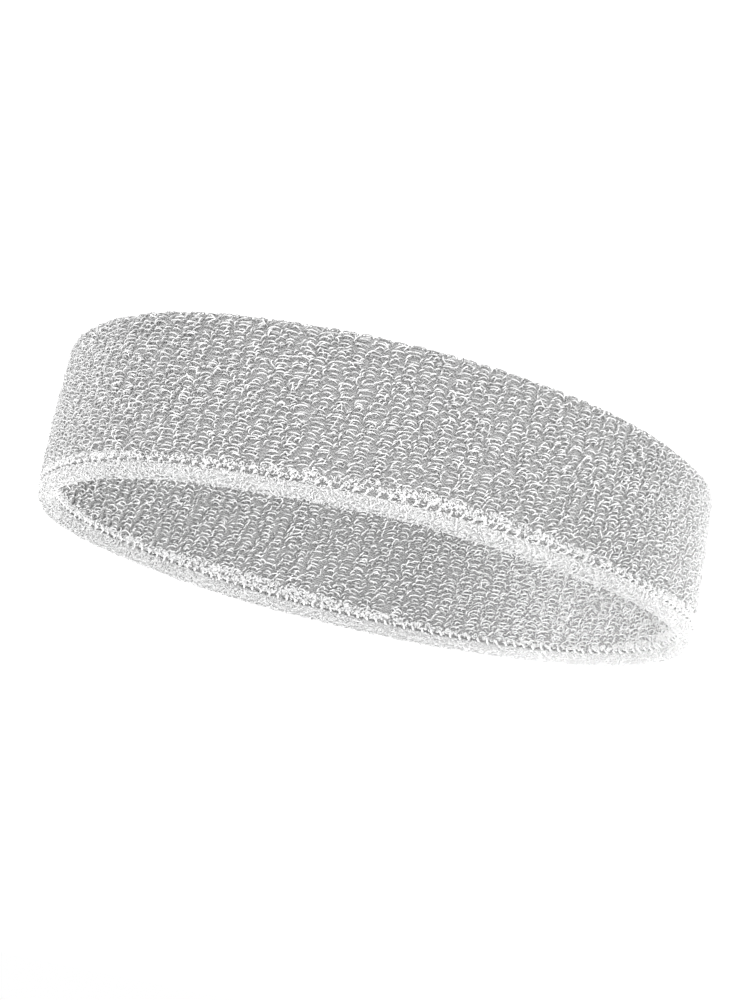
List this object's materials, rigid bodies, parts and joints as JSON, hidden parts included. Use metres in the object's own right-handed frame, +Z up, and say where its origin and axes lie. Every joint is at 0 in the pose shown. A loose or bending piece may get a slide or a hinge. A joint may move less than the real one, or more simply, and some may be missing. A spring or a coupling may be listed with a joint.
{
  "type": "sports headband",
  "caption": "Stretchy double-layer terry-knit sweatband for the head, an open oval loop with one folded and one seamed edge.",
  "frame": {"origin": "middle of the loop, on the surface that the folded edge stands on", "axes": "+X along the long way of the oval, +Y across it, +Z up from the folded edge to the seamed edge"},
  "size_m": [0.211, 0.166, 0.05],
  "materials": {
    "ground_knit": "plain-knitted matt filament ground cloth",
    "terry_loops": "soft bleached cotton loops",
    "turned_edge": "compact cotton knit, pulled tight by the seam",
    "seam_thread": "twisted sewing thread",
    "elastic_yarn": "covered elastic yarn"
  },
  "bodies": {
    "root": {"outer_ground_knit": "ground_knit", "inner_ground_knit": "ground_knit", "fold_ground_knit": "ground_knit", "outer_seam_allowance": "ground_knit", "inner_seam_allowance": "ground_knit", "outer_terry_pile": "terry_loops", "inner_terry_pile": "terry_loops", "fold_terry_pile": "terry_loops", "outer_turned_edge": "turned_edge", "inner_turned_edge": "turned_edge", "seam_needle_thread": "seam_thread", "seam_looper_thread": "seam_thread", "outer_elastic_yarn_1": "elastic_yarn", "outer_elastic_yarn_2": "elastic_yarn", "outer_elastic_yarn_3": "elastic_yarn", "outer_elastic_yarn_4": "elastic_yarn", "outer_elastic_yarn_5": "elastic_yarn", "outer_elastic_yarn_6": "elastic_yarn", "outer_elastic_yarn_7": "elastic_yarn", "outer_elastic_yarn_8": "elastic_yarn", "inner_elastic_yarn_1": "elastic_yarn", "inner_elastic_yarn_2": "elastic_yarn", "inner_elastic_yarn_3": "elastic_yarn", "inner_elastic_yarn_4": "elastic_yarn", "inner_elastic_yarn_5": "elastic_yarn", "inner_elastic_yarn_6": "elastic_yarn", "inner_elastic_yarn_7": "elastic_yarn", "inner_elastic_yarn_8": "elastic_yarn"}
  },
  "joints": []
}
